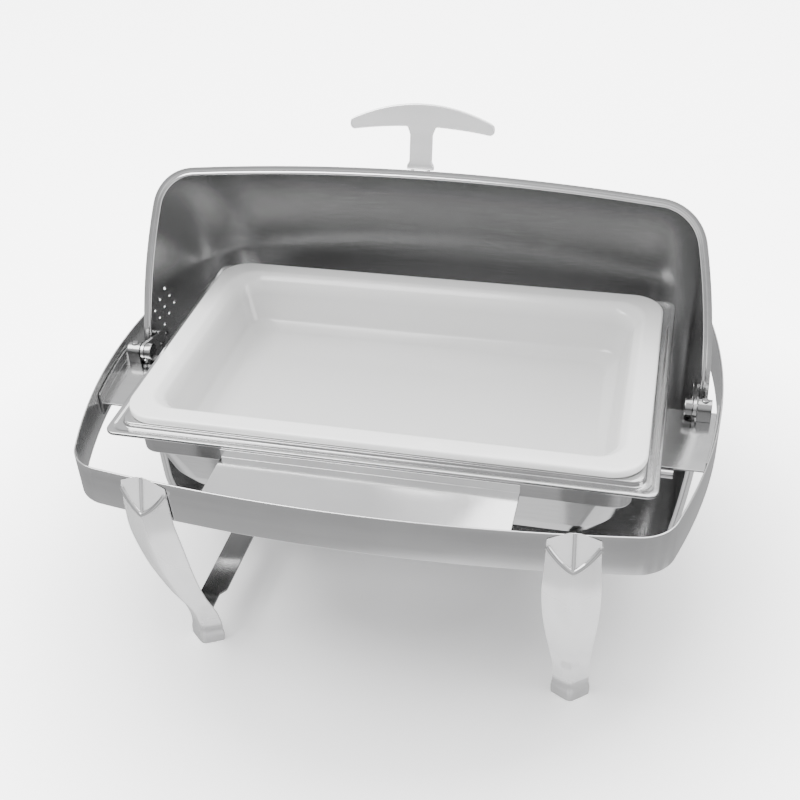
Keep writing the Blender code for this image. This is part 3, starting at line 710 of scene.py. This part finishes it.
@dataclass
class Lid:
    """The rolled dome with its hem and vents, drawn closed about the hinge axis; the handle shares its
    pose.
    """

    pivot: Vector = field(default_factory=lambda: Vector((0.0, -0.021, 0.2815)))
    tilt: float = math.radians(16.9)
    outline: Bowed = Bowed(0.319, 0.683, 0.2208, 0.19, 0.055)
    rim: Bowed = Bowed(0.319, 0.683, 0.2190, 0.19, 0.055)
    offset: float = 0.028
    sheet: float = 0.0015
    hem: float = 0.0088
    vent_radius: float = 0.0021
    vent_pitch: float = 0.0155
    vent_centre: Point = (-0.034, 0.072)
    vent_reach: Point = (0.29, 0.33)
    flatten: float = 0.55

    @property
    def place(self) -> Matrix:
        """From the closed drawing to the open rest pose."""
        return Matrix.Translation(self.pivot) @ Matrix.Rotation(-(math.pi / 2 + self.tilt), 4, "X")

    def profile(self, inset: float) -> Loop:
        """(x, radius) points of half the dome's profile, from the middle to the end wall's centre."""
        quarter = [(p.x, p.y) for p in self.outline.quarter(inset, 22) if p.y > self.offset]
        wall = self.outline.half_x - inset - self.outline.bow_x * self.offset**2
        return quarter[::-1] + [(wall, self.offset + 1e-5)]

    def rows(self, inset: float, steps: int) -> list[Loop]:
        """Arcs of the dome across x, each ending in the rim plane."""
        half = self.profile(inset)
        rows = []
        for x, radius in [(-x, r) for x, r in half[::-1]] + half[1:]:
            start = math.asin(self.offset / radius)
            turns = [start + (math.pi - 2 * start) * i / steps for i in range(steps + 1)]
            rows.append([(x, -radius * math.cos(t), radius * math.sin(t)) for t in turns])
        return rows

    def shell(self, finishes: Finishes, steps: int = 96) -> bpy.types.Object:
        """The sheet: outer and inner skins joined along the rim, and vents in both end walls."""
        verts: Loop = []
        faces = []
        skins = []
        for inset in (0.0, self.sheet):
            rows = self.rows(inset, steps)
            base = len(verts)
            verts += [p for row in rows for p in row]
            width = steps + 1
            skins.append((base, width, len(rows)))
            for r in range(len(rows) - 1):
                for i in range(steps):
                    a = base + r * width + i
                    faces.append((a, a + 1, a + width + 1, a + width))
            faces.append(tuple(range(base, base + width)))
            faces.append(tuple(range(base + (len(rows) - 1) * width, base + len(rows) * width)))
        (outer, width, count), (inner, _, _) = skins
        for r in range(count - 1):
            for edge in (0, width - 1):
                a, b = r * width + edge, (r + 1) * width + edge
                faces.append((outer + a, outer + b, inner + b, inner + a))
        for r in (0, count - 1):
            a, b = r * width, r * width + width - 1
            faces.append((outer + a, outer + b, inner + b, inner + a))
        shell = solid("lid_dome", verts, faces)
        self.pierce(shell)
        shell.data.materials.clear()
        shell.data.materials.append(finishes.inside)
        shell.data.materials.append(finishes.outside)
        for face in shell.data.polygons:
            away = Vector((face.center.x * self.flatten, face.center.y, face.center.z))
            face.material_index = 1 if face.normal.dot(away) > 0 else 0
        return shell

    def pierce(self, shell: bpy.types.Object) -> None:
        """Cuts the nine vents of each end wall."""
        verts: Loop = []
        faces = []
        for side in (-1, 1):
            for row in range(3):
                for column in range(3):
                    y = self.vent_centre[0] + (row - column) * self.vent_pitch / math.sqrt(2)
                    z = self.vent_centre[1] + (row + column - 2) * self.vent_pitch / math.sqrt(2)
                    base, count, size = len(verts), 16, self.vent_radius
                    for x in sorted(side * reach for reach in self.vent_reach):
                        turns = (2 * math.pi * i / count for i in range(count))
                        verts += [(x, y + size * math.cos(t), z + size * math.sin(t)) for t in turns]
                    faces.append(tuple(range(base, base + count))[::-1])
                    faces.append(tuple(range(base + count, base + 2 * count)))
                    for i in range(count):
                        j = (i + 1) % count
                        faces.append((base + i, base + j, base + count + j, base + count + i))
        drills = solid("vent_drills", verts, faces)
        bore = shell.modifiers.new("vents", "BOOLEAN")
        bore.operation = "DIFFERENCE"
        bore.object = drills
        bpy.context.view_layer.update()
        graph = bpy.context.evaluated_depsgraph_get()
        pierced = bpy.data.meshes.new_from_object(shell.evaluated_get(graph))
        shell.modifiers.clear()
        shell.data = pierced
        shell.data.shade_smooth()
        shell.data.set_sharp_from_angle(angle=CREASE)
        bpy.data.objects.remove(drills)

    def build(self, finishes: Finishes) -> None:
        """Makes the dome and its folded hem."""
        settle(self.shell(finishes), finishes.inside, "lid", self.place, ["lid_shell"])
        front, back, width = self.offset - 0.0006, self.offset + 0.0024, self.hem
        under, inner, outer = self.offset - 0.0002, 0.0018, -0.0002
        section = [(outer, front), (width * 0.45, front + 0.0003), (width * 0.62, front + 0.0009),
                   (width * 0.80, front - 0.0001), (width, front + 0.0004), (width, back),
                   (inner, back), (inner, under), (outer, under)]
        hem = self.rim.sweep("lid_hem", eased(section, 0.0007, steps=3))
        settle(hem, finishes.hem, "lid", self.place, ["lid_rim_hem"])


@dataclass
class Handle:
    """The T-shaped handle: foot flange, stem and arched grip bar in polished plate."""

    plane: float = 0.040
    sheet: float = 0.005
    half: float = 0.0735
    stem: float = 0.0120
    root: float = 0.0150
    flange: float = 0.0145
    neck: float = 0.2546
    steps: int = 14
    tip: float = 0.0033
    tip_round: float = 0.0030
    under: Point = (0.2628, 0.2568)
    over: Point = (0.2860, 0.2691)

    def arch(self, x: float, ends: Point) -> float:
        """Distance from the hinge axis along the grip bar."""
        return ends[0] + (ends[1] - ends[0]) * (abs(x) / self.half) ** 2

    def build(self, lid: Lid, finishes: Finishes) -> None:
        """Makes the handle on the lid's front edge."""
        dome = lid.outline.half_y
        foot = math.sqrt(dome**2 - (self.plane - self.sheet / 2) ** 2) + 0.0005
        right = [(self.flange, foot), (self.flange, foot + 0.0045), (self.stem, foot + 0.0085),
                 (self.stem, self.neck), (self.root, self.arch(self.root, self.under))]
        for i in range(1, self.steps + 1):
            x = self.root + (self.half - self.root) * i / self.steps
            right.append((x, self.arch(x, self.under)))
        end = self.half + self.tip
        right += [(end, self.under[1] + self.tip_round), (end, self.over[1] - self.tip_round)]
        for i in range(self.steps + 1):
            x = self.half * (1 - i / self.steps)
            right.append((x, self.arch(x, self.over)))
        outline = eased(right + [(-x, y) for x, y in right[-2::-1]], 0.0018, steps=3)
        levels = [self.plane - self.sheet / 2, self.plane + self.sheet / 2]
        grip = skin("lid_handle", [[(x, -y, z) for x, y in outline] for z in levels])
        # painted highlight: the handle takes the brighter copy of the mirror steel
        settle(grip, finishes.bright, "lid", lid.place, ["handle"])
        rounded_edges(grip, 0.0015, 50.0, 4)


@dataclass
class Pans:
    """The steel water pan and the porcelain food pan."""

    centre_y: float = -0.010
    water_rim: Point = (0.278, 0.176)
    water_top: float = 0.2935
    water_step: float = 0.040
    water_raise: float = 0.0045
    food_rim: Point = (0.265, 0.1625)
    food_top: float = 0.3075

    def pan(self, name: str, profile: Loop) -> bpy.types.Object:
        """A pan from closed-profile points of (half x, half y, corner radius, height)."""
        rings = []
        for half_x, half_y, radius, z in profile:
            outline = rounded_rectangle(half_x, half_y, radius)
            rings.append([(x, self.centre_y + y, z) for x, y in outline])
        return skin(name, rings)

    def build(self, finishes: Finishes) -> None:
        """Makes both pans."""
        settle(self.water(), finishes.satin, "water_pan", replaces=["water_pan"])
        settle(self.food(), finishes.glaze, "food_pan", replaces=["food_pan"])

    def water(self) -> bpy.types.Object:
        """The pressed water pan: drop lip, raised inner rim, step wall, ledge and deep well."""
        x, y = self.water_rim
        top, sheet = self.water_top, 0.001
        raised, step = top + self.water_raise, top - self.water_step
        groove, edge = top - 0.0012, top - 0.0034
        well = [(0.2140, 0.1120, 0.040, top - 0.0990), (0.2350, 0.1330, 0.046, top - 0.0925),
                (0.2425, 0.1405, 0.044, top - 0.0780), (0.2485, 0.1465, 0.031, step - 0.0012)]
        over = [(0.0255, 0.015, step + sheet), (0.0245, 0.015, raised), (0.0135, 0.013, raised),
                (0.0130, 0.013, groove), (0.0075, 0.012, groove), (0.0050, 0.012, top),
                (0.0002, 0.011, top), (0.0002, 0.011, edge)]
        under = [(0.0012, 0.010, edge), (0.0012, 0.010, top - sheet - 0.0012),
                 (0.0145, 0.012, top - sheet - 0.0012), (0.0145, 0.012, raised - sheet),
                 (0.0235, 0.016, raised - sheet), (0.0245, 0.016, step)]
        outer = [(0.2495, 0.1475, 0.032, step - 0.0022), (0.2435, 0.1415, 0.045, top - 0.0780),
                 (0.2358, 0.1338, 0.047, top - 0.0933), (0.2140, 0.1120, 0.041, top - 0.1000)]
        rim = [(x - inset, y - inset, radius, z) for inset, radius, z in over + under]
        return self.pan("water_pan_pressing", eased(well + rim + outer, 0.0016, closed=False, steps=4))

    def food(self) -> bpy.types.Object:
        """The porcelain pan: crisp flat rim, sloping walls, soft floor corners."""
        x, y = self.food_rim
        top, wall = self.food_top, 0.0045
        under = self.water_top + self.water_raise + 0.0003 - top
        rows = [(0.2190, 0.1165, 0.026, -0.066), (0.2265, 0.1240, 0.030, -0.059),
                (0.2400, 0.1375, 0.032, under - 0.0030), (0.2440, 0.1415, 0.032, under),
                (x - 0.0010, y - 0.0010, 0.034, under), (x, y, 0.035, under + 0.0020),
                (x, y, 0.035, -0.0018), (x - 0.0018, y - 0.0018, 0.033, 0.0),
                (x - 0.0205, y - 0.0205, 0.030, 0.0), (0.2400 - wall, 0.1375 - wall, 0.028, -0.0080),
                (0.2270 - wall, 0.1245 - wall, 0.026, -0.0520), (0.2080, 0.1055, 0.022, -0.0612),
                (0.19, 0.088, 0.02, -0.0612)]
        profile = [(half_x, half_y, radius, top + z) for half_x, half_y, radius, z in rows]
        return self.pan("food_pan_porcelain", eased(profile, 0.0040, closed=False, steps=5))


@dataclass
class Hinges:
    """The two hinge pins, with large round heads on the inner side."""

    head: float = 0.0092
    pin: float = 0.004
    head_from: float = 0.2955
    head_to: float = 0.3040
    pin_to: float = 0.3220

    def build(self, lid: Lid, finishes: Finishes) -> None:
        """Makes the two turned pins."""
        corners = [(self.head_from, 0.0), (self.head_from, self.head), (self.head_to, self.head),
                   (self.head_to, self.pin), (self.pin_to, self.pin)]
        profile = eased(corners, 0.0012, closed=False, steps=4)
        place = Matrix.Translation(lid.pivot)
        for word, side in SIDES:
            pin = turned(f"hinge_pin_{word}_turned", [(side * x, radius) for x, radius in profile])
            settle(pin, finishes.hinge, "frame", place, [f"hinge_pin_{word}"])


@dataclass
class Hardware:
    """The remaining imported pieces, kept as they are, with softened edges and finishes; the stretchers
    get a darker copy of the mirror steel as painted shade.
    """

    small: float = 0.00035
    weld: float = 1e-5

    def build(self, finishes: Finishes) -> None:
        """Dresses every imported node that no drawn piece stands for."""
        slots = {row["node"]: Slot(row["material_slot"]) for row in frame["record"]["subparts"]}
        names = sorted(set(frame["nodes"]) - REDRAWN)
        for name in names:
            surface = finishes.by_slot[slots[name]]
            # painted shade: the stretchers take the darker copy of the mirror steel
            if name.startswith("stretcher"):
                surface = finishes.stretcher_shade
            elif name.startswith(("hinge", "set_screw")):
                surface = finishes.hinge
            self.dress(frame["nodes"][name], surface)
        LOG.info("hardware: %d packed pieces dressed", len(names))

    def dress(self, node: bpy.types.Object, surface: bpy.types.Material) -> None:
        """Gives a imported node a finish, a weld and softened edges."""
        node.data.materials.clear()
        node.data.materials.append(surface)
        if "custom_normal" in node.data.attributes:
            node.data.attributes.remove(node.data.attributes["custom_normal"])
        node.data.shade_smooth()
        weld = node.modifiers.new("weld", "WELD")
        weld.merge_threshold = self.weld
        rounded_edges(node, self.small, 32.0, 2)


# ------------------------------------------------------------------ studio


@dataclass(frozen=True)
class SoftBox:
    """A square area light."""

    name: str
    at: Point
    aim: Point
    size: float
    power: float

    def hang(self) -> None:
        """Makes the light, aimed at its point."""
        light = bpy.data.lights.new(self.name, "AREA")
        light.size = self.size
        light.energy = self.power
        lamp = bpy.data.objects.new(self.name, light)
        lamp.location = self.at
        ahead = Vector(self.aim) - Vector(self.at)
        lamp.rotation_euler = ahead.to_track_quat("-Z", "Y").to_euler()
        bpy.context.scene.collection.objects.link(lamp)


@dataclass
class Studio:
    """The camera, the pale floor, the soft lights and the surround."""

    eye: Vector = field(default_factory=lambda: Vector((0.2628, -1.0172, 0.9962)))
    azimuth: float = math.radians(15.18)
    elevation: float = math.radians(35.85)
    roll: float = math.radians(-2.92)
    lens: float = 51.97
    sensor: float = 36.0
    far: float = 60.0
    floor_half: float = 14.0
    boxes: tuple[SoftBox, ...] = (
        SoftBox("key", (-1.3, -0.6, 2.5), (0.0, 0.0, 0.2), 1.8, 100.0),
        SoftBox("top", (0.4, 0.9, 2.8), (0.0, 0.0, 0.2), 2.4, 70.0),
        SoftBox("side", (2.6, -0.6, 1.3), (0.0, 0.0, 0.25), 1.2, 22.0))
    surround: float = 1.6
    belts: tuple[Point, ...] = ((0.0, 0.95), (0.07, 0.92), (0.13, 0.38), (0.22, 0.30), (0.30, 0.55),
                                (0.40, 0.80), (0.52, 0.30), (0.62, 0.45), (0.78, 0.80), (1.0, 0.85))

    def build(self) -> None:
        """Makes the whole studio."""
        self.camera()
        self.floor()
        for box in self.boxes:
            box.hang()
        self.world()

    def camera(self) -> None:
        """The camera, at the viewing angle that shows the pans and the open lid."""
        ahead = Vector((-math.sin(self.azimuth) * math.cos(self.elevation),
                        math.cos(self.azimuth) * math.cos(self.elevation), -math.sin(self.elevation)))
        right = ahead.cross(UPWARDS).normalized()
        up = right.cross(ahead)
        across = math.cos(self.roll) * right + math.sin(self.roll) * up
        above = -math.sin(self.roll) * right + math.cos(self.roll) * up
        lens = bpy.data.cameras.new("camera")
        lens.lens = self.lens
        lens.sensor_width = self.sensor
        lens.clip_end = self.far
        camera = bpy.data.objects.new("camera", lens)
        turn = Matrix((across, above, -ahead)).transposed().to_4x4()
        camera.matrix_world = Matrix.Translation(self.eye) @ turn
        bpy.context.scene.collection.objects.link(camera)
        bpy.context.scene.camera = camera

    def floor(self) -> None:
        """A wide pale floor, which polished steel doesn't mirror."""
        half = self.floor_half
        corners = [(-half, -half, 0), (half, -half, 0), (half, half, 0), (-half, half, 0)]
        floor = solid("studio_floor", corners, [(0, 1, 2, 3)])
        floor.data.materials.append(Floor().make())
        floor.visible_glossy = False

    def world(self) -> None:
        """A surround of bright and dim belts, which gives polished steel something to mirror."""
        board = Board("surround", world=True)
        way = board.add("ShaderNodeTexCoord", output="Generated")
        height = board.add("ShaderNodeSeparateXYZ", inputs={0: way}, output="Z")
        waves = {"Vector": way, "Scale": 2.6, "Detail": 3.0}
        drift = board.add("ShaderNodeTexNoise", inputs=waves)
        level = height * 0.5 + 0.5 + drift * 0.10 - 0.05
        stops = [(at, (tone, tone, tone * 1.01, 1.0)) for at, tone in self.belts]
        belts = board.add("ShaderNodeValToRGB", {"stops": stops}, {0: level})
        bpy.context.scene.world = board.finish(Color=belts, Strength=self.surround)


def main() -> None:
    """Builds the studio and every sub-assembly in order."""
    logging.basicConfig(level=logging.INFO, format="%(name)s: %(message)s")
    Studio().build()
    finishes = Finishes()
    ring = FrameRing()
    ring.build(finishes)
    Legs().build(ring, finishes)
    lid = Lid()
    lid.build(finishes)
    Handle().build(lid, finishes)
    Pans().build(finishes)
    Hinges().build(lid, finishes)
    Hardware().build(finishes)


if __name__ == "__main__":
    main()
